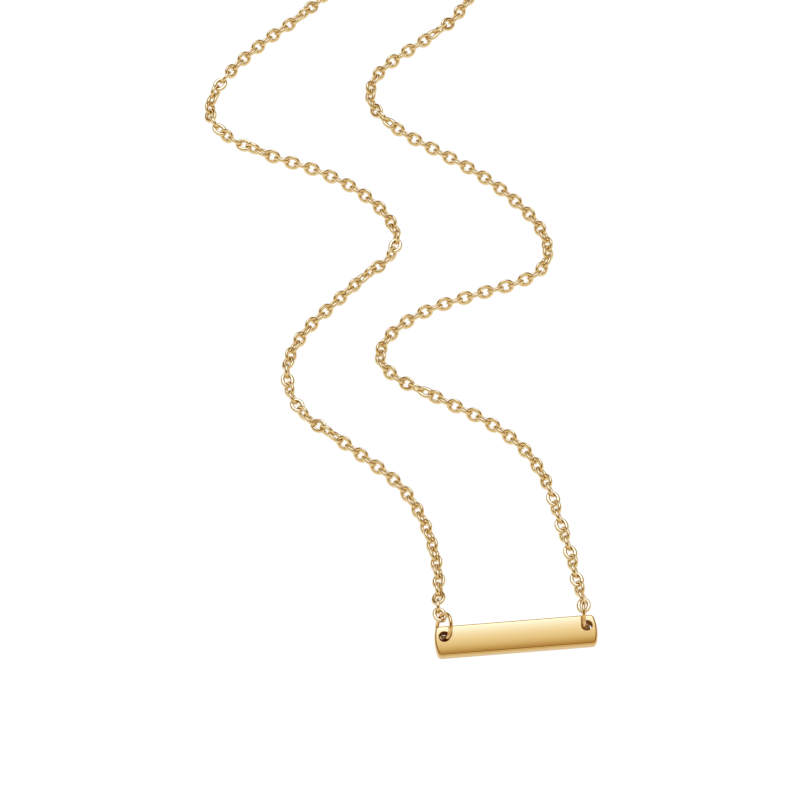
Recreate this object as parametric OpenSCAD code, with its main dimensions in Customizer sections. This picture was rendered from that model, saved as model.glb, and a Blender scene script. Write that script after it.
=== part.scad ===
// Bar pendant on an oval-link chain, laid out flat on a surface, millimetres.
// +X runs along the bar, +Y from the bar towards the chain, +Z up, the surface at Z = 0.

/* [Bar] */
// length of the bar, end to end
bar_length = 30; // [28:0.5:33]
// height of the bar, lower edge to upper edge
bar_height = 5.9; // [5.7:0.1:6.3]
// thickness of the bar
bar_thick = 2.1; // [1.8:0.1:2.2]
// how far each end swells out past its corners
bar_swell = 0.5; // [0.3:0.1:0.8]
// radius of the four rounded corners
bar_corner = 0.9; // [0.6:0.1:1.1]
// radius of the softened edges round both faces
bar_edge = 0.42; // [0.36:0.02:0.46]
// how high the upper edge is held up by the jump rings
bar_lift = 1.4; // [1.38:0.01:1.5]

/* [Holes] */
// diameter of each hole
hole_d = 2; // [2:0.02:2.1]
// from the bar's end to the middle of the hole
hole_in = 1.85; // [1.75:0.05:2]
// from the bar's upper edge to the middle of the hole
hole_down = 2.15; // [2.05:0.05:2.25]
// width of the bevel on both rims of a hole
hole_bevel = 0.12; // [0.08:0.02:0.2]

/* [Jump rings] */
// diameter of a jump ring, to the middle of its wire
ring_d = 5; // [4.95:0.05:5.05]
// thickness of a jump ring's wire
ring_wire = 0.7; // [0.6:0.02:0.72]
// how far the left ring leans over from lying flat
ring_left_lean = 118; // [117:1:119]
// how far the left ring is turned about the upright
ring_left_turn = 7; // [6:1:8]
// how far the right ring leans over from lying flat
ring_right_lean = 87; // [84:1:90]
// how far the right ring is turned about the upright
ring_right_turn = -5; // [-6:1:-3]

/* [Chain] */
// outside length of one link
link_length = 3.46; // [3.4:0.02:3.6]
// outside width of one link
link_width = 2.7; // [2.6:0.05:2.85]
// thickness of a link's wire
link_wire = 0.58; // [0.5:0.01:0.59]
// free play between two links that meet
link_play = 0.18; // [0.17:0.01:0.24]
// free play between a link and the ring it hangs on
hang_play = 0.35; // [0.3:0.01:0.4]
// how steeply the links lie, to one side and the other in turn
link_roll = 45; // [43:1:47]

/* [Clasp] */
// inside length of the clasp's loop
clasp_length = 5; // [4.5:0.5:6]
// outside width of the clasp's loop
clasp_width = 4.6; // [4.2:0.2:5.4]
// thickness of the clasp's loop
clasp_wire = 1.2; // [1:0.1:1.3]
// diameter of the clasp's eye, to the middle of its wire
eye_d = 2.8; // [2.7:0.1:3.2]
// thickness of the eye's wire
eye_wire = 1; // [0.8:0.1:1.1]
// diameter of the two rings beside the clasp, to the middle of the wire
end_ring_d = 3.8; // [3.7:0.1:4]
// thickness of the wire of those two rings
end_ring_wire = 0.7; // [0.6:0.05:0.75]

/* [Hidden] */
$fn = 48;
gold = "gold";
full_turn = 360;
half_turn = 180;
quarter = 90;
edge_sides = 24;     // sides of the round of the bar's edges
corner_sides = 64;   // and of its corners, and of its ends' wide arcs, if they went all the way round
end_sides = 240;

// bar: it lies on its lower back edge, tilted up by the rings under its upper edge
bar_tilt = asin(bar_lift / bar_height);
bar_rise = (bar_height / 2 - bar_edge) * sin(bar_tilt) + bar_edge * (1 - cos(bar_tilt));
end_r = (bar_height * bar_height / 4 + bar_swell * bar_swell) / (2 * bar_swell);
end_turn = asin((bar_height / 2 - bar_corner) / (end_r - bar_corner));
end_x = bar_length / 2 - end_r;
corner_x = end_x + (end_r - bar_corner) * cos(end_turn);
corner_y = bar_height / 2 - bar_corner;
hole_x = bar_length / 2 - hole_in;
hole_y = bar_height / 2 - hole_down;

// a point of the bar, given along it, up its face and through its thickness, where it really lies
function on_bar(u, v, w) = [u, v * cos(bar_tilt) - w * sin(bar_tilt),
                            v * sin(bar_tilt) + w * cos(bar_tilt) + bar_rise];

// jump rings: each goes through its hole and stands on the surface
ring_r = ring_d / 2;
left_sag = 0.38;     // how far below the middle of the hole the wire lies
right_sag = 0.3;
left_aside = 0.15;   // how far each ring's middle is from straight above its hole
right_aside = -0.28;
left_hold = 86;      // where round each ring the chain hangs on it
right_hold = 70;
function lean_turn(p, lean, turn) =
    let (x = p[0] * cos(lean) + p[2] * sin(lean), z = p[2] * cos(lean) - p[0] * sin(lean))
    [x * cos(turn) - p[1] * sin(turn), x * sin(turn) + p[1] * cos(turn), z];
function ring_at(side, lean, sag, aside) =
    let (h = on_bar(side * hole_x, hole_y, bar_thick / 2),
         z = ring_r * sin(lean) + ring_wire / 2)
    [h[0] + aside, h[1] + sqrt(ring_r * ring_r - pow(z - h[2], 2)) - sag, z];
function ring_spot(at, lean, turn, round) =
    at + ring_r * lean_turn([cos(round), sin(round), 0], lean, turn);
ring_left = ring_at(-1, ring_left_lean, left_sag, left_aside);
ring_right = ring_at(1, ring_right_lean, right_sag, right_aside);
hold_left = ring_spot(ring_left, ring_left_lean, ring_left_turn, left_hold);
hold_right = ring_spot(ring_right, ring_right_lean, ring_right_turn, right_hold);

// clasp: it lies on the lower wires of the rings beside it
clasp_at = [2.5, 176.4];
clasp_turn = -6;
end_ring_z = (end_ring_d + end_ring_wire) / 2;
clasp_z = end_ring_wire + link_play + clasp_wire / 2;
loop_end = clasp_length / 2 + clasp_wire / 2;              // middle of the loop's wire at its ends
eye_set = clasp_wire / 4;                                  // from there to the eye's own wire
eye_x = -(loop_end + eye_set + eye_d / 2);                 // middle of the eye
eye_end = eye_x - eye_d / 2;                               // middle of the eye's outer wire
function beside_clasp(x, z) = [clasp_at[0] + x * cos(clasp_turn), clasp_at[1] + x * sin(clasp_turn), z];
clasp_hold_left = beside_clasp(eye_end - end_ring_d / 2, end_ring_z);
clasp_hold_right = beside_clasp(loop_end + end_ring_d / 2, end_ring_z);

// the chain's way over the surface: [x, y, degrees that it has twisted by there]
way_left = [
    [-13.7, 7.2, 45], [-13.1, 10.4, 20], [-13, 20.4, 0], [-14.5, 28.4, 0], [-18, 36.4, 0], [-23.5, 42.9, 0],
    [-28, 47.7, 0], [-35, 55.4, -125], [-36.9, 61.9, -205], [-36, 68.4, -270], [-32, 74.9, -270],
    [-26, 80.9, -270], [-20, 86.4, -250], [-13.9, 91.9, -155], [-12.8, 95.9, -110],
    [-13.4, 98.9, -90], [-19.7, 108.4, -90], [-26.5, 113.6, -90], [-36, 118.7, -90],
    [-44.3, 124.7, -200], [-46.5, 128.4, -245], [-46.8, 131.4, -270], [-45.6, 135.2, -255],
    [-42, 140.7, -180], [-34, 148.6, -180], [-27.6, 153.4, -170], [-22.8, 157.9, -90],
    [-18.3, 163.9, -90], [-14.9, 170, -90], [-12.2, 174.6, -90], [-8.6, 177.4, -90]];
way_right = [
    [13.3, 6.6, 385], [12.9, 9.1, 355], [12.2, 17.4, 240], [11, 25.7, 120], [9.7, 33.9, 0],
    [6.7, 41.7, 0], [1.2, 48.4, 0], [-8.4, 55.7, 0], [-15, 60.4, -90], [-17.8, 63.6, -90],
    [-18.9, 66.8, -90], [-17.6, 70.2, -90], [-13.5, 74.4, -90], [-9.8, 76.6, -90], [2.2, 80.4, -90],
    [10.3, 82.6, -90], [14, 84.6, -90], [16.2, 89.4, -90], [15.5, 94.4, -90], [11.4, 102.1, -90],
    [5.9, 108.8, -90], [-3.8, 117.4, -90], [-9.8, 122.6, -90], [-14, 128.2, -175],
    [-14.7, 132.4, -180], [-12.3, 137.9, -180], [-9, 140.9, -180], [-2.6, 145.4, -180],
    [3.5, 150, -90], [6.4, 153.9, -90], [9.9, 159.9, -90], [13.2, 165.4, -90], [14.3, 169.8, -90],
    [12.9, 173.6, -90], [9.7, 175.4, -90]];
start_twist_left = 60;
start_twist_right = 400;
end_twist = -105;
rise_links = 4.5;    // links over which the chain climbs to a ring
steps = 8;           // points worked out between two rows of a way

// smooth curve through the rows, its pull at each row set by the distances to the neighbours
function flat(p) = [p[0], p[1]];
function pull(p, i) =
    i == 0 ? (p[1] - p[0]) / norm(p[1] - p[0]) :
    i == len(p) - 1 ? (p[i] - p[i - 1]) / norm(p[i] - p[i - 1]) :
    let (a = norm(p[i] - p[i - 1]), b = norm(p[i + 1] - p[i]))
    ((p[i] - p[i - 1]) / a * b + (p[i + 1] - p[i]) / b * a) / (a + b);
function bend(p, i, t) =
    let (d = norm(p[i + 1] - p[i]), t2 = t * t, t3 = t * t * t)
    (2 * t3 - 3 * t2 + 1) * p[i] + (t3 - 2 * t2 + t) * d * pull(p, i)
    + (3 * t2 - 2 * t3) * p[i + 1] + (t3 - t2) * d * pull(p, i + 1);
function curve(p) = [
    for (i = [0 : len(p) - 2]) for (k = [0 : steps - 1]) bend(p, i, k / steps), p[len(p) - 1]];
function step_after(c, i) = i + 1 < len(c) ? norm(c[i + 1] - c[i]) : 0;
function run(c) = [for (i = 0, s = 0; i < len(c); s = s + step_after(c, i), i = i + 1) s];

// the joints of one half of the chain: [x, y, z, roll of the link that starts there]
reach = ring_wire / 2 + hang_play - link_play / 2;
end_reach = end_ring_wire / 2 + hang_play - link_play / 2;
function away(from, to, far) = let (d = to - from) from - d / norm(d) * far;
function ease(t) = t >= 1 ? 1 : t <= 0 ? 0 : t * t * (3 - 2 * t);
pitch = link_length - 2 * link_wire - link_play;
function height(roll) = (link_width - link_wire) / 2 * abs(sin(roll)) + link_wire / 2;
function roll(i, twist) = twist + (i % 2 == 0 ? -link_roll : link_roll);

function joints(start, way, finish, twist0) =
    let (a = away(flat(start), flat(way[0]), reach),
         b = away(flat(finish), flat(way[len(way) - 1]), end_reach),
         p = concat([a], [for (w = way) flat(w)], [b]),
         turns = concat([twist0], [for (w = way) w[2]], [end_twist]),
         c = curve(p), s = run(c), total = s[len(s) - 1],
         xs = [for (i = [0 : len(c) - 1]) [s[i], c[i][0]]],
         ys = [for (i = [0 : len(c) - 1]) [s[i], c[i][1]]],
         ts = [for (i = [0 : len(p) - 1]) [s[i * steps], turns[i]]],
         n = ceil(total / pitch))
    [for (i = [0 : n])
        let (t = i / n * total, half = total / n / 2,
             before = roll(i + 1, lookup(t - half, ts)), after = roll(i, lookup(t + half, ts)),
             rest = max(height(before), height(after)),
             up = max(rest, start[2] + (rest - start[2]) * ease(i / rise_links)),
             z = max(up, finish[2] + (rest - finish[2]) * ease((n - i) / rise_links)))
        [lookup(t, xs), lookup(t, ys), z, after]];

joints_left = joints(hold_left, way_left, clasp_hold_left, start_twist_left);
joints_right = joints(hold_right, way_right, clasp_hold_right, start_twist_right);

echo(left_links = len(joints_left) - 1, right_links = len(joints_right) - 1,
     left_mm = (len(joints_left) - 1) * pitch, right_mm = (len(joints_right) - 1) * pitch);

// the softened edges of both faces, along an arc round the Z axis
module soft_edges(r, turn, sides) for (face = [-1, 1])
    rotate_extrude(angle = turn, $fn = sides) translate([r - bar_edge, face * (bar_thick / 2 - bar_edge)])
        circle(r = bar_edge, $fn = edge_sides);
module bar_body() hull() for (m = [0, 1]) mirror([m, 0, 0]) {
    translate([end_x, 0, 0]) rotate([0, 0, -end_turn]) soft_edges(end_r, 2 * end_turn, end_sides);
    for (s = [-1, 1]) translate([corner_x, s * corner_y, 0]) soft_edges(bar_corner, full_turn, corner_sides);
}
module bar_hole() {
    cylinder(d = hole_d, h = 2 * bar_thick, center = true);
    for (m = [0, 1]) mirror([0, 0, m]) translate([0, 0, bar_thick / 2 - hole_bevel])
        cylinder(d1 = hole_d, d2 = hole_d + 4 * hole_bevel, h = 2 * hole_bevel);
}
module bar() color(gold) translate([0, 0, bar_rise]) rotate([bar_tilt, 0, 0])
    translate([0, 0, bar_thick / 2]) difference() {
        bar_body();
        for (s = [-1, 1]) translate([s * hole_x, hole_y, 0]) bar_hole();
    }

module ring(d, wire) rotate_extrude() translate([d / 2, 0]) circle(d = wire);
module jump_ring_left() color(gold) translate(ring_left)
    rotate([0, ring_left_lean, ring_left_turn]) ring(ring_d, ring_wire);
module jump_ring_right() color(gold) translate(ring_right)
    rotate([0, ring_right_lean, ring_right_turn]) ring(ring_d, ring_wire);

// a closed oval of round wire, long way along X
module oval(length, width, wire) {
    r = (width - wire) / 2;
    half = (length - width) / 2;
    for (s = [0, 1]) mirror([s, 0, 0]) translate([half, 0, 0]) rotate([0, 0, -quarter])
        rotate_extrude(angle = half_turn) translate([r, 0]) circle(d = wire);
    for (s = [-1, 1]) translate([-half, s * r, 0]) rotate([0, quarter, 0]) cylinder(d = wire, h = 2 * half);
}
module links(j) for (i = [0 : len(j) - 2]) {
    a = [j[i][0], j[i][1], j[i][2]];
    b = [j[i + 1][0], j[i + 1][1], j[i + 1][2]];
    d = b - a;
    translate((a + b) / 2) rotate([0, -atan2(d[2], norm(flat(d))), atan2(d[1], d[0])])
        rotate([j[i][3], 0, 0]) oval(link_length, link_width, link_wire);
}
module chain_left() color(gold) links(joints_left);
module chain_right() color(gold) links(joints_right);

module clasp() color(gold) translate([clasp_at[0], clasp_at[1], clasp_z]) rotate([0, 0, clasp_turn]) {
    oval(clasp_length + 2 * clasp_wire, clasp_width, clasp_wire);
    translate([eye_x, 0, 0]) ring(eye_d, eye_wire);
}
module beside(x) translate(beside_clasp(x, end_ring_z)) rotate([quarter, 0, clasp_turn])
    ring(end_ring_d, end_ring_wire);
module clasp_ring() color(gold) beside(eye_end);
module end_ring() color(gold) beside(loop_end);

bar();
jump_ring_left();
jump_ring_right();
chain_left();
chain_right();
clasp();
clasp_ring();
end_ring();
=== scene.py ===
# %% [markdown]
# # A polished bar pendant on its chain
#
# The piece is a flat gold bar with a hole near each end. A jump ring goes through each hole, and
# an oval-link cable chain hangs on the two rings. It lies loosely on a white table, in the curves
# in which the chain happened to fall. This lesson dresses its construction model for a close-up:
# smooth links in place of the coarse ones, a softly crowned bar, and polished gold that shows the
# room round it. Every length is in metres, the bar runs along X and the table is at Z = 0.

# %% The construction model
import math

import bpy
import numpy as np
from mathutils import Matrix, Vector
from mathutils.geometry import delaunay_2d_cdt


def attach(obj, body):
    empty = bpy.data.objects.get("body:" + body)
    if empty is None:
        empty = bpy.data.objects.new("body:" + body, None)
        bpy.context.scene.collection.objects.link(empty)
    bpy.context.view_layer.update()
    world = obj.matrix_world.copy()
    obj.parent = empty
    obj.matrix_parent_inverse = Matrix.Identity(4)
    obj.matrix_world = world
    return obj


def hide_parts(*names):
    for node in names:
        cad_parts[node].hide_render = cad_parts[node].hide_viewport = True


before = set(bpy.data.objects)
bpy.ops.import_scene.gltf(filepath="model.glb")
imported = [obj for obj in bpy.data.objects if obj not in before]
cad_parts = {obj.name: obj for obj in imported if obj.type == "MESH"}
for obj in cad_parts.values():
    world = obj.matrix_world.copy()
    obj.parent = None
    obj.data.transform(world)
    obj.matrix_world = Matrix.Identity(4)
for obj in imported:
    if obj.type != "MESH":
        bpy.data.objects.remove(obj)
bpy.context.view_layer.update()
MM = 0.001
print("pieces in the construction model:", sorted(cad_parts))

# %% [markdown]
# ## The camera
#
# A jewel is photographed with a long lens from well back, so that near and far links look the same
# size. Here the camera stands almost a metre away, 53 degrees above the table and a little to the
# left of straight ahead of the bar. A flat, orthographic camera would be simpler still, but a lens
# of 225 mm keeps the gentle narrowing towards the clasp that such a camera loses.

# %% The camera
LOOK_AT = Vector((-0.0159, 0.0570, 0.0))
CAMERA_FAR = 0.9524
CAMERA_HEIGHT = math.radians(53.3)
CAMERA_ASIDE = math.radians(-5.47)
LENS_MM = 225
FILM_WIDTH_MM = 36
NEAREST_SEEN = 0.01
FURTHEST_SEEN = 20.0


def put_in_scene(name, data):
    """A new object of that name in the scene, with that mesh or camera as its data."""
    made = bpy.data.objects.new(name, data)
    bpy.context.scene.collection.objects.link(made)
    return made


def look_from(aside, height, far):
    """A point that far from what the camera looks at."""
    flat = math.cos(height) * far
    return LOOK_AT + Vector((math.sin(aside) * flat, -math.cos(aside) * flat,
                             math.sin(height) * far))


def make_camera():
    """The camera on its stand, looking at the middle of the picture."""
    stand = put_in_scene("camera", bpy.data.cameras.new("camera"))
    stand.location = look_from(CAMERA_ASIDE, CAMERA_HEIGHT, CAMERA_FAR)
    stand.rotation_euler = (LOOK_AT - stand.location).to_track_quat("-Z", "Y").to_euler()
    stand.data.lens = LENS_MM
    stand.data.sensor_width = FILM_WIDTH_MM
    stand.data.clip_start = NEAREST_SEEN
    stand.data.clip_end = FURTHEST_SEEN
    bpy.context.scene.camera = stand
    return stand


camera = make_camera()
print("camera at", [round(v, 4) for v in camera.location])

# %% [markdown]
# ## The table
#
# Polished metal has hardly any colour of its own to show: it shows the room. So the room matters
# more here than the metal does. The table is white card lit so well that it holds no shadow, which
# is how a jewel is cut out on pure white. Many lamps could do that. A card that glows by itself
# does it in one step, and it fills every surface of the wire that faces down. Its own paint is
# nearly black, so that the glow alone makes it white and nothing on it throws a shadow.

# %% The table
TABLE_SIZE = 6.0
TABLE_GLOW = 1.0
TABLE_PAINT = (0.02, 0.02, 0.02)


def card(name, colour, glow):
    """Matt card of one even colour that also glows white by that much."""
    made = bpy.data.materials.new(name)
    made.use_nodes = True
    shader = made.node_tree.nodes["Principled BSDF"]
    shader.inputs["Base Color"].default_value = (*colour, 1)
    shader.inputs["Emission Color"].default_value = (1, 1, 1, 1)
    shader.inputs["Emission Strength"].default_value = glow
    shader.inputs["Roughness"].default_value = 1.0
    shader.inputs["Specular IOR Level"].default_value = 0.0
    return made


def lay_card(name, length, depth, rise, material):
    """A flat card with its middle over the origin, that far above the table's surface."""
    x, y = length / 2, depth / 2
    corners = [(-x, -y, rise), (x, -y, rise), (x, y, rise), (-x, y, rise)]
    mesh = bpy.data.meshes.new(name)
    mesh.from_pydata(corners, [], [(0, 1, 2, 3)])
    mesh.materials.append(material)
    return put_in_scene(name, mesh)


table_white = card("table_white", TABLE_PAINT, TABLE_GLOW)
table = lay_card("table", TABLE_SIZE, TABLE_SIZE, 0, table_white)
print("the table is", TABLE_SIZE, "metres wide")

# %% [markdown]
# ## The light
#
# The light comes from one large soft box above and behind the jewel. The bar's face leans towards
# the camera, so it reflects a patch of that box's near border, and the border decides what the face
# looks like: bright and creamy along the upper edge, deeper gold along the lower one. In front of
# the box the room falls off to a dark brown, which draws the dark line along the bar's lower edge
# and the brown lines that make the wire look round. Lower still, in front, the room is pale again,
# and that is what the sides of the links catch. Lamps and reflectors could be built for all this.
# Painting it on the sky, by how near a direction is to the middle of the soft box, leaves a single
# list of colours to adjust.

# %% The light
BOX_BEHIND = math.radians(30)
BOX_STRENGTH = 4.0
SKY = [
    # the pale room in front
    (0.000, (0.800, 0.680, 0.460)),
    (0.100, (1.150, 1.040, 0.800)),
    (0.300, (1.150, 1.040, 0.800)),
    # the dark brown between it and the box
    (0.440, (0.600, 0.460, 0.250)),
    (0.600, (0.240, 0.140, 0.050)),
    (0.800, (0.220, 0.130, 0.050)),
    # the border of the box, from gold to white
    (0.835, (0.450, 0.300, 0.130)),
    (0.858, (0.749, 0.578, 0.329)),
    (0.876, (0.965, 0.936, 0.735)),
    (0.893, (1.120, 1.135, 1.110)),
    # the box itself, cooler and brighter towards its middle
    (0.910, (1.245, 1.300, 1.380)),
    (0.928, (1.331, 1.491, 1.875)),
    (0.943, (1.419, 1.736, 2.531)),
    (0.958, (1.588, 2.077, 3.746)),
    (1.000, (3.000, 3.200, 3.800)),
]


def make_sky():
    """A sky whose colour depends on how near a direction is to the soft box's middle."""
    sky = bpy.data.worlds.new("soft_box")
    sky.use_nodes = True
    nodes, links = sky.node_tree.nodes, sky.node_tree.links
    direction = nodes.new("ShaderNodeTexCoord")
    nearness = nodes.new("ShaderNodeVectorMath")
    nearness.operation = "DOT_PRODUCT"
    nearness.inputs[1].default_value = (0, math.sin(BOX_BEHIND), math.cos(BOX_BEHIND))
    ramp = nodes.new("ShaderNodeValToRGB")
    stops = ramp.color_ramp.elements
    stops[0].position, stops[1].position = SKY[0][0], SKY[-1][0]
    for place, _ in SKY[1:-1]:
        stops.new(place)
    for stop, (_, colour) in zip(stops, SKY):
        stop.color = (*(part / BOX_STRENGTH for part in colour), 1)
    links.new(direction.outputs["Generated"], nearness.inputs[0])
    links.new(nearness.outputs["Value"], ramp.inputs["Fac"])
    links.new(ramp.outputs["Color"], nodes["Background"].inputs["Color"])
    nodes["Background"].inputs["Strength"].default_value = BOX_STRENGTH
    bpy.context.scene.world = sky


make_sky()
bpy.context.scene.view_settings.view_transform = "Standard"
print("the soft box stands", round(math.degrees(BOX_BEHIND)), "degrees behind straight up")

# %% [markdown]
# ## Gold
#
# The metal is pale yellow gold plate. A fully metallic shader takes its colour from one value, the
# base colour. It is a deep one here, because the painted room is bright and gives it back as pale
# gold. The rest is finish. A polished surface is never quite even, and a mirror that is would look
# computed. A picture of scratches could be wrapped round each piece, but it would need unwrapping
# and would blur close up. A noise that is worked out at every point needs neither: it moves the
# roughness a little and lifts the surface by a hair. The bar is polished in strokes along its
# length, so its grains are drawn out that way.

# %% Polished gold
NOISE_DETAIL = 3.0
NOISE_LOW = 0.3
NOISE_HIGH = 0.7
BAR_GOLD = (0.68, 0.46, 0.185)
STROKES = (0.12, 1, 1)


def uneven_polish(nodes, links, patch, stretch):
    """A noise that stays with its piece: a patch of that many metres is about five grains wide."""
    place = nodes.new("ShaderNodeTexCoord")
    sized = nodes.new("ShaderNodeMapping")
    sized.inputs["Scale"].default_value = tuple(s / patch for s in stretch)
    noise = nodes.new("ShaderNodeTexNoise")
    noise.inputs["Detail"].default_value = NOISE_DETAIL
    links.new(place.outputs["Object"], sized.inputs["Vector"])
    links.new(sized.outputs["Vector"], noise.inputs["Vector"])
    return noise.outputs["Fac"]


def gold(name, colour, smooth, uneven, patch, relief, stretch=(1, 1, 1)):
    """Gold whose roughness wanders up from smooth by uneven, and its surface by relief metres."""
    made = bpy.data.materials.new(name)
    made.use_nodes = True
    nodes, links = made.node_tree.nodes, made.node_tree.links
    shader = nodes["Principled BSDF"]
    shader.inputs["Base Color"].default_value = (*colour, 1)
    shader.inputs["Metallic"].default_value = 1.0
    noise = uneven_polish(nodes, links, patch, stretch)
    spread = nodes.new("ShaderNodeMapRange")
    spread.inputs["From Min"].default_value = NOISE_LOW
    spread.inputs["From Max"].default_value = NOISE_HIGH
    spread.inputs["To Min"].default_value = smooth
    spread.inputs["To Max"].default_value = smooth + uneven
    links.new(noise, spread.inputs["Value"])
    links.new(spread.outputs["Result"], shader.inputs["Roughness"])
    bump = nodes.new("ShaderNodeBump")
    bump.inputs["Strength"].default_value = 1.0
    bump.inputs["Distance"].default_value = relief
    links.new(noise, bump.inputs["Height"])
    links.new(bump.outputs["Normal"], shader.inputs["Normal"])
    return made


bar_gold = gold("bar_gold", BAR_GOLD, smooth=0.06, uneven=0.04, patch=1.2 * MM,
                relief=0.0001 * MM, stretch=STROKES)
print("the bar's finish:", bar_gold.name)

# %% [markdown]
# ## Three more finishes
#
# One gold wouldn't do for every piece. The rings are plain polished wire. The links are too small
# for a polishing wheel and are tumbled, which leaves them a little softer. The walls of the holes
# are only drilled, so they stay rough, and their dark brown is painted shade inside the holes. A
# material could be copied and changed for each, but the same function makes all three, and its
# numbers say how they differ.

# %% The other finishes
RING_GOLD = (0.72, 0.51, 0.24)
CHAIN_GOLD = (0.78, 0.62, 0.35)
# darker than the gold itself: a painted shade for the inside of the holes
HOLE_SHADE_GOLD = (0.55, 0.28, 0.08)

ring_gold = gold("ring_gold", RING_GOLD, smooth=0.08, uneven=0.08, patch=0.5 * MM,
                 relief=0.002 * MM)
chain_gold = gold("chain_gold", CHAIN_GOLD, smooth=0.12, uneven=0.10, patch=0.4 * MM,
                  relief=0.003 * MM)
hole_shade_gold = gold("hole_shade_gold", HOLE_SHADE_GOLD, smooth=0.30, uneven=0.15, patch=0.3 * MM,
                 relief=0.006 * MM)
print("the other finishes:", [finish.name for finish in (ring_gold, chain_gold, hole_shade_gold)])

# %% [markdown]
# ## Finding the links
#
# The construction model holds each strand as loose solid links, which are true in place but coarse
# in shape. The fine links could be laid out a second time along a curve, but they would only nearly
# agree with the model. Instead each loose link is found in the coarse mesh: points in the same
# place count as one, and points that an edge joins belong to the same link.

# %% Loose links
SAME_PLACE_DIGITS = 7


def loose_parts(mesh):
    """The vertices of each loose part, as rows of numbers, in the order in which they are met."""
    points = np.zeros(len(mesh.vertices) * 3)
    mesh.vertices.foreach_get("co", points)
    points = points.reshape(-1, 3)
    first_there = {}
    places = np.round(points, SAME_PLACE_DIGITS).tolist()
    same = [first_there.setdefault(tuple(place), i) for i, place in enumerate(places)]
    owner = list(range(len(points)))

    def root(i):
        while owner[i] != i:
            owner[i] = owner[owner[i]]
            i = owner[i]
        return i

    for edge in mesh.edges:
        a, b = root(same[edge.vertices[0]]), root(same[edge.vertices[1]])
        owner[max(a, b)] = min(a, b)
    groups = {}
    for i in sorted(set(same)):
        groups.setdefault(root(i), []).append(i)
    return [points[group] for group in groups.values()]


coarse_links = {node: loose_parts(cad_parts[node].data)
                for node in ("chain_left", "chain_right")}
for node, found in coarse_links.items():
    print(node, "has", len(found), "links")

# %% [markdown]
# ## Measuring how a link lies
#
# An oval link is longest one way, narrower the next and thinnest across, so its points alone tell
# how it lies. The singular value decomposition gives the three directions of any cloud of points,
# the longest first. The points aren't spread evenly over a link, so its middle is taken between
# its furthest points along each direction, and both steps are repeated a few times.

# %% The lie of each link
CENTRING_ROUNDS = 3


def lie_of(points):
    """A link's middle, and as three rows its long way, its broad way and the way through it."""
    middle = (points.min(0) + points.max(0)) / 2
    for _ in range(CENTRING_ROUNDS):
        spread = points - middle
        ways = np.linalg.svd(spread, full_matrices=False)[2]
        along = spread @ ways.T
        middle = middle + ((along.max(0) + along.min(0)) / 2) @ ways
    return middle, ways


strands = {node: [lie_of(points) for points in found] for node, found in coarse_links.items()}
for node, lies in strands.items():
    print(node, "starts at", [round(v / MM, 2) for v in lies[0][0]], "mm")

# %% [markdown]
# ## One link
#
# A cable link is a piece of wire bent to an oval and soldered shut. A torus squeezed to an oval
# would be quick, but it would squeeze the wire too. Here the wire lies between two true ovals, and
# is made as rings of points round the line midway between them. Bending and tumbling flatten the
# wire slightly, so each ring is a circle pushed out a little towards its four corners.

# %% One link
LINK_LENGTH = 3.46 * MM
LINK_WIDTH = 2.7 * MM
LINK_THICK = 0.68 * MM
LINK_SIDE = 0.79 * MM
LINK_END = 0.66 * MM
LINK_STEPS = 40
WIRE_SIDES = 14
FLATNESS = 0.8


def flattened(part):
    """A sine or cosine pushed outwards, which turns a round section into one with flatter faces."""
    return math.copysign(abs(part) ** FLATNESS, part)


def on_oval(half_length, half_width, turn):
    """The point that far round an oval."""
    return Vector((half_length * math.cos(turn), half_width * math.sin(turn), 0))


def one_link():
    """Vertices and faces of one link, its long way along X."""
    points, faces = [], []
    for i in range(LINK_STEPS):
        turn = 2 * math.pi * i / LINK_STEPS
        outside = on_oval(LINK_LENGTH / 2, LINK_WIDTH / 2, turn)
        inside = on_oval(LINK_LENGTH / 2 - LINK_END, LINK_WIDTH / 2 - LINK_SIDE, turn)
        for k in range(WIRE_SIDES):
            round_wire = 2 * math.pi * k / WIRE_SIDES
            across = (outside - inside) / 2 * flattened(math.cos(round_wire))
            up = Vector((0, 0, LINK_THICK / 2 * flattened(math.sin(round_wire))))
            points.append((outside + inside) / 2 + across + up)
    for i in range(LINK_STEPS):
        a, b = i * WIRE_SIDES, (i + 1) % LINK_STEPS * WIRE_SIDES
        for k in range(WIRE_SIDES):
            m = (k + 1) % WIRE_SIDES
            faces.append((a + k, b + k, b + m, a + m))
    return points, faces


link_points, link_faces = one_link()
print("one link has", len(link_points), "points and", len(link_faces), "faces")

# %% [markdown]
# ## The two strands
#
# The fine link is made once and laid in every place that was measured. All the links of a strand
# are joined in one mesh, because two hundred separate objects would slow the scene and say nothing
# more. The fine wire is a little thicker than the coarse one, so the undersides of the lowest links
# are stopped at the table instead of sinking into it.

# %% The strands
OTHER_WAY_THROUGH = np.array([[1], [1], [-1]])


def make_piece(name, points, faces, material, node):
    """A smooth mesh piece that moves with the necklace and stands for a node of the model."""
    mesh = bpy.data.meshes.new(name)
    mesh.from_pydata([tuple(p) for p in points], [], faces)
    mesh.polygons.foreach_set("use_smooth", [True] * len(mesh.polygons))
    mesh.materials.append(material)
    mesh.update()
    piece = put_in_scene(name, mesh)
    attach(piece, "root")
    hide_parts(node)
    return piece


def make_strand(node):
    """All the fine links of one strand."""
    shape = np.array([tuple(p) for p in link_points])
    points, faces = [], []
    for middle, ways in strands[node]:
        # three ways that come out left-handed would turn the link inside out
        turn = ways if np.linalg.det(ways) > 0 else ways * OTHER_WAY_THROUGH
        laid = shape @ turn + middle
        laid[:, 2] = np.maximum(laid[:, 2], 0)
        first = len(points)
        points.extend(laid.tolist())
        faces.extend(tuple(first + i for i in face) for face in link_faces)
    name = node.replace("chain", "fine_chain")
    return make_piece(name, points, faces, chain_gold, node)


for node in strands:
    strand = make_strand(node)
    print(strand.name, "has", len(strand.data.polygons), "faces")

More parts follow.
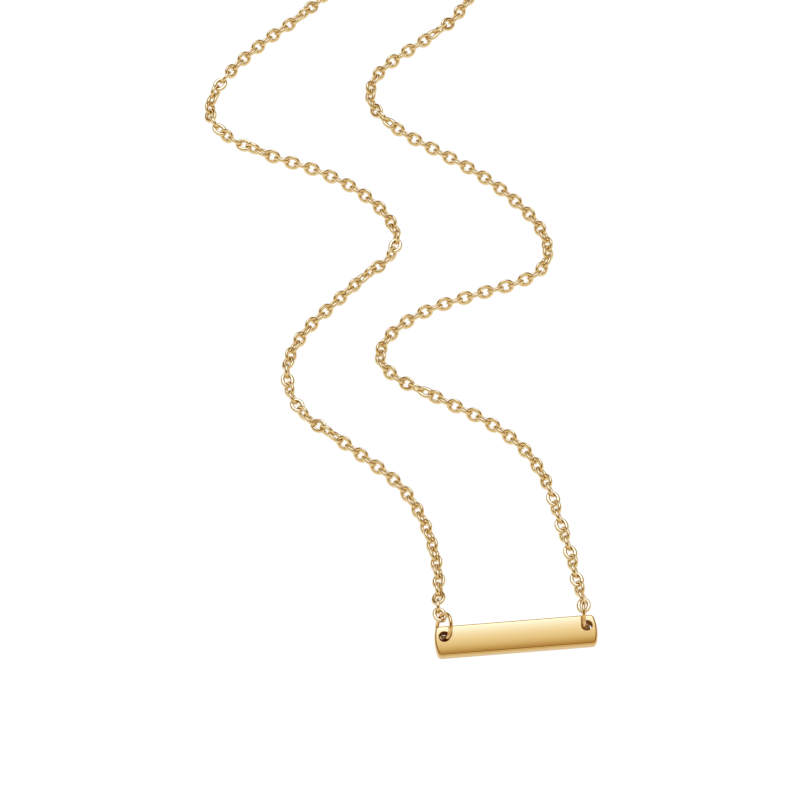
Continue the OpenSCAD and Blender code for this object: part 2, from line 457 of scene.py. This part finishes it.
# %% [markdown]
# ## The bar: its outline
#
# The bar is stamped from flat strip. Its long edges are straight, its ends bulge out in wide arcs,
# and small arcs round the four corners. All of it is described as one closed outline that can be
# drawn in from the edge by any distance, because each of its points knows the arc it lies on. The
# rounded edge is then nothing more than a stack of drawn-in outlines, each a little higher.

# %% The bar's outline
BAR_LENGTH = 30.0 * MM
BAR_HEIGHT = 5.9 * MM
BAR_SWELL = 0.5 * MM
BAR_CORNER = 0.9 * MM
END_STEPS = 40
CORNER_STEPS = 12
SIDE_STEPS = 160

end_radius = (BAR_HEIGHT ** 2 / 4 + BAR_SWELL ** 2) / (2 * BAR_SWELL)
end_turn = math.asin((BAR_HEIGHT / 2 - BAR_CORNER) / (end_radius - BAR_CORNER))
end_middle = BAR_LENGTH / 2 - end_radius
corner_x = end_middle + (end_radius - BAR_CORNER) * math.cos(end_turn)
corner_y = BAR_HEIGHT / 2 - BAR_CORNER


def arc(x, y, radius, first, last, steps):
    """Centre, radius and direction for each point of an arc, without its last point."""
    return [(x, y, radius, first + (last - first) * i / steps) for i in range(steps)]


def straight(x_from, x_to, steps):
    """The same for a long edge: from x_from to x_to, on the upper side if it runs to the left."""
    up = math.pi / 2 if x_to < x_from else -math.pi / 2
    y = math.copysign(corner_y, up)
    return [(x_from + (x_to - x_from) * i / steps, y, BAR_CORNER, up) for i in range(steps)]


def bar_outline():
    """The whole outline, anticlockwise from where the right end meets its lower corner."""
    quarter, half = math.pi / 2, math.pi
    return (arc(end_middle, 0, end_radius, -end_turn, end_turn, END_STEPS)
            + arc(corner_x, corner_y, BAR_CORNER, end_turn, quarter, CORNER_STEPS)
            + straight(corner_x, -corner_x, SIDE_STEPS)
            + arc(-corner_x, corner_y, BAR_CORNER, quarter, half - end_turn, CORNER_STEPS)
            + arc(-end_middle, 0, end_radius, half - end_turn, half + end_turn, END_STEPS)
            + arc(-corner_x, -corner_y, BAR_CORNER, half + end_turn, half + quarter, CORNER_STEPS)
            + straight(-corner_x, corner_x, SIDE_STEPS)
            + arc(corner_x, -corner_y, BAR_CORNER, -quarter, -end_turn, CORNER_STEPS))


outline = bar_outline()
print("points round the bar:", len(outline))

# %% [markdown]
# ## The bar: a soft crown
#
# A face that was truly flat would reflect one single patch of the room, and look like a painted
# strip. Polishing on a soft wheel takes a little more off the edges than off the middle, so the
# real face is very slightly crowned, by about a tenth of a millimetre. That is enough to draw the
# light out into a gradient. A bent grid could give the crown, but a formula also gives the exact
# direction in which the surface faces, and a mirror shows the smallest error in a direction that
# was only averaged.

# %% The crown
BAR_THICK = 2.1 * MM
CROWN = 0.12 * MM


def sunk(y):
    """How far the crowned face lies below the bar's full thickness."""
    return CROWN * (y / (BAR_HEIGHT / 2)) ** 2


def lean(y):
    """How much the crowned face leans over there."""
    return 2 * CROWN * y / (BAR_HEIGHT / 2) ** 2


print("the face leans at its edges by", round(math.degrees(lean(BAR_HEIGHT / 2)), 1), "degrees")

# %% [markdown]
# ## The bar: rounded rims
#
# The bar's edge is rounded on the wheel, and the edges of its two holes are broken by a fine bevel,
# so that they don't cut into the rings. Both are the same thing, a quarter turn from the wall up to
# the face. A bevel modifier would make them too, but it can't know the crown. Here every ring of
# points on a rim is worked out, with the direction in which it faces.

# %% The rims
HOLE_RADIUS = 1.0 * MM
HOLE_X = 13.15 * MM
HOLE_Y = 0.8 * MM
HOLE_RIM = 0.12 * MM
BAR_EDGE = 0.42 * MM
HOLE_STEPS = 64
ROUND_STEPS = 7
holes = [Vector((side * HOLE_X, HOLE_Y)) for side in (-1, 1)]


def rim_point(x, y, out, radius, turn):
    """A point of a rounded rim and where it faces: out is the way off the metal, and turn goes
    from the wall to the face."""
    inset = radius * (1 - math.cos(turn))
    x, y = x - out[0] * inset, y - out[1] * inset
    height = BAR_THICK / 2 - radius * (1 - math.sin(turn)) - sunk(y)
    facing = Vector((out[0] * math.cos(turn),
                     out[1] * math.cos(turn) + lean(y) * math.sin(turn),
                     math.sin(turn)))
    return (x, y, height), facing.normalized()


def rim(border, outwards, radius):
    """Rings of points up a rim: outwards is 1 round the bar, and -1 round a hole in it."""
    rings = []
    for i in range(ROUND_STEPS + 1):
        turn = math.pi / 2 * i / ROUND_STEPS
        ring = []
        for x, y, border_radius, way in border:
            across, up = math.cos(way), math.sin(way)
            ring.append(rim_point(x + across * border_radius, y + up * border_radius,
                                  (outwards * across, outwards * up), radius, turn))
        rings.append(ring)
    return rings


def hole_border(hole):
    """A hole's circle, described as the bar's outline is."""
    return arc(hole.x, hole.y, HOLE_RADIUS, 0, 2 * math.pi, HOLE_STEPS)


bar_rim = rim(outline, 1, BAR_EDGE)
hole_rims = [rim(hole_border(hole), -1, HOLE_RIM) for hole in holes]
print("rings of points on each rim:", [len(rings) for rings in [bar_rim, *hole_rims]])

# %% [markdown]
# ## The bar: the flat of the face
#
# Between the rims lies the broad face with its two openings. One large polygon would be cut into
# long thin triangles, and they would show as streaks in the reflection. So an even grid of points
# is laid over the face first, and a Delaunay triangulation joins it to the rims with triangles that
# are as even as they can be.

# %% The flat of the face
FACE_GRID = 0.25 * MM
GRID_CLEAR = FACE_GRID * 0.4
ONLY_TRIANGLES = 0
SAME_SPOT = 1e-9


def in_face(x, y):
    """Whether a grid point lies on the flat of the face, clear of its borders."""
    if min((Vector((x, y)) - hole).length for hole in holes) < HOLE_RADIUS + HOLE_RIM + GRID_CLEAR:
        return False
    edge = BAR_EDGE + GRID_CLEAR
    if math.hypot(abs(x) + end_radius - BAR_LENGTH / 2, y) > end_radius - edge:
        return False
    over_x, over_y = abs(x) - corner_x, abs(y) - corner_y
    return over_x < 0 or over_y < 0 or math.hypot(over_x, over_y) < BAR_CORNER - edge


def grid_points():
    """The places of the even grid that lie on the flat of the face."""
    half_x, half_y = BAR_LENGTH / 2 - BAR_EDGE, BAR_HEIGHT / 2 - BAR_EDGE
    across, up = round(2 * half_x / FACE_GRID), round(2 * half_y / FACE_GRID)
    places = [(-half_x + 2 * half_x * i / across, -half_y + 2 * half_y * k / up)
              for i in range(1, across) for k in range(1, up)]
    return [(x, y) for x, y in places if in_face(x, y)]


def over_hole(corners):
    """Whether a triangle covers part of a hole: its middle is then inside the hole's rim."""
    middle = sum((Vector(corner[:2]) for corner in corners), Vector((0, 0))) / len(corners)
    return min((middle - hole).length for hole in holes) <= HOLE_RADIUS + HOLE_RIM / 2


face_grid = grid_points()
print("grid points on the face:", len(face_grid))

# %% [markdown]
# ## The bar: its front half
#
# Now the front half is put together from its rims and its face. Rings of as many points are joined
# by four-cornered faces, one after the other up each rim, and the triangles fill what the top
# rings leave open. Round a hole the metal lies on the other side, so its faces are turned over.

# %% The front half
def turned(ring):
    """The same ring, from its second point on."""
    return ring[1:] + ring[:1]


def between(lower, upper):
    """The four-cornered faces between two rings of as many points."""
    return list(zip(lower, turned(lower), turned(upper), upper))


def fill_face(points, facings, tops):
    """Adds the grid's points, and gives the triangles between them and the top rings."""
    owner = [i for ring in tops for i in ring]
    for x, y in face_grid:
        owner.append(len(points))
        points.append((x, y, BAR_THICK / 2 - sunk(y)))
        facings.append(Vector((0, lean(y), 1)).normalized())
    edges, first = [], 0
    for ring in tops:
        ring_spots = list(range(first, first + len(ring)))
        edges += zip(ring_spots, turned(ring_spots))
        first += len(ring)
    flat = [Vector(points[i][:2]) for i in owner]
    found = delaunay_2d_cdt(flat, edges, [], ONLY_TRIANGLES, SAME_SPOT)
    triangles, came_from = found[2], found[3]
    faces = [tuple(owner[came_from[i][0]] for i in triangle) for triangle in triangles]
    return [face for face in faces if not over_hole([points[i] for i in face])]


def front_half():
    """Points, where they face, the faces between them and the open ring under each rim."""
    points, facings, faces, tops, open_rings = [], [], [], [], []
    for rings in [bar_rim, *hole_rims]:
        numbered = []
        for ring in rings:
            numbered.append(list(range(len(points), len(points) + len(ring))))
            points += [at for at, _ in ring]
            facings += [facing for _, facing in ring]
        for lower, upper in zip(numbered, numbered[1:]):
            faces += between(lower, upper) if rings is bar_rim else between(upper, lower)
        tops.append(numbered[-1])
        open_rings.append(numbered[0])
    faces += fill_face(points, facings, tops)
    return points, facings, faces, open_rings


front_points, front_facings, front_faces, open_rings = front_half()
print("the bar's front half has", len(front_points), "points and", len(front_faces), "faces")

# %% [markdown]
# ## The bar: both halves, tilted as it lies
#
# The back is the front turned over, and a plain wall joins the two round the outline. A mirror
# modifier could do it, but not the exact directions in which the points face. The finished bar is
# then leaned over: the jump rings pass under its upper edge and prop it up, so it rests on the
# lower one.

# %% The whole bar
BAR_LIFT = 1.4 * MM

bar_tilt = math.asin(BAR_LIFT / BAR_HEIGHT)
bar_rise = (BAR_HEIGHT / 2 - BAR_EDGE) * math.sin(bar_tilt) + BAR_EDGE * (1 - math.cos(bar_tilt))
lay = (Matrix.Translation((0, 0, bar_rise)) @ Matrix.Rotation(bar_tilt, 4, "X")
       @ Matrix.Translation((0, 0, BAR_THICK / 2)))


def turned_over(points):
    """The same points or directions, seen in the bar's middle plane as in a mirror."""
    return [(x, y, -z) for x, y, z in points]


def make_bar():
    """Front, back and the wall round them, laid on the table."""
    count = len(front_points)
    points = front_points + turned_over(front_points)
    facings = front_facings + turned_over(front_facings)
    faces = front_faces + [tuple(count + i for i in face[::-1]) for face in front_faces]
    edge = open_rings[0]
    faces += [(a, count + a, count + b, b) for a, b in zip(edge, turned(edge))]
    laid = [lay @ Vector(point) for point in points]
    piece = make_piece("polished_bar", laid, faces, bar_gold, "bar")
    turn = lay.to_3x3()
    piece.data.normals_split_custom_set_from_vertices([tuple(turn @ Vector(f)) for f in facings])
    return piece


bar = make_bar()
print("the bar has", len(bar.data.polygons), "faces and leans by",
      round(math.degrees(bar_tilt), 1), "degrees")

# %% [markdown]
# ## The bar: the walls of its holes
#
# No polishing wheel reaches into the holes, so their walls stay rough, and their dark brown beside
# the bright bar is painted shade inside the holes. They could share the bar's mesh and take a
# second material there. As a piece of their own they keep one finish for each mesh, which is
# simpler to read and to change.

# %% The walls of the holes
def make_hole_walls():
    """The drilled walls of both holes, from the front's rim to the back's."""
    points, faces = [], []
    for ring in open_rings[1:]:
        first, around = len(points), len(ring)
        front_rim = [front_points[i] for i in ring]
        points += front_rim + turned_over(front_rim)
        front_spots = list(range(first, first + around))
        faces += between(front_spots, [around + i for i in front_spots])
    laid = [lay @ Vector(point) for point in points]
    # the walls' dark brown finish is painted shade inside the holes
    return make_piece("hole_walls", laid, faces, hole_shade_gold, "bar")


hole_walls = make_hole_walls()
print("the holes' walls have", len(hole_walls.data.polygons), "faces")

# %% [markdown]
# ## The shade under the bar
#
# Hardly any light gets under the bar, and that shade is what shows through the two holes. A table
# that glows has no shade, so a card that doesn't glow is laid just over it, a little smaller than
# the bar above it. It is staging, as the table is, and no part of the jewel.

# %% The shade
SHADE_PAINT = (0.48, 0.30, 0.13)
SHADE_LENGTH = 28.0 * MM
SHADE_DEPTH = 4.8 * MM
SHADE_RISE = 0.01 * MM

table_shade = card("table_shade", SHADE_PAINT, 0)
shade = lay_card("shade", SHADE_LENGTH, SHADE_DEPTH, SHADE_RISE, table_shade)
print("the shade is", round(SHADE_LENGTH / MM, 1), "by", round(SHADE_DEPTH / MM, 1), "mm")

# %% [markdown]
# ## Rings and clasp
#
# The two jump rings, the clasp and the rings beside it are round wire already, and round wire is
# what the construction model makes exactly. New meshes would add nothing, so these pieces stay as
# they are and get the gold.

# %% The rings and the clasp
for node in ("jump_ring_left", "jump_ring_right", "clasp", "clasp_ring", "end_ring"):
    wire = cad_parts[node].data
    wire.materials.clear()
    wire.materials.append(ring_gold)
    all_smooth = all(face.use_smooth for face in wire.polygons)
    print(node, "has", len(wire.polygons), "faces, smooth:", all_smooth)
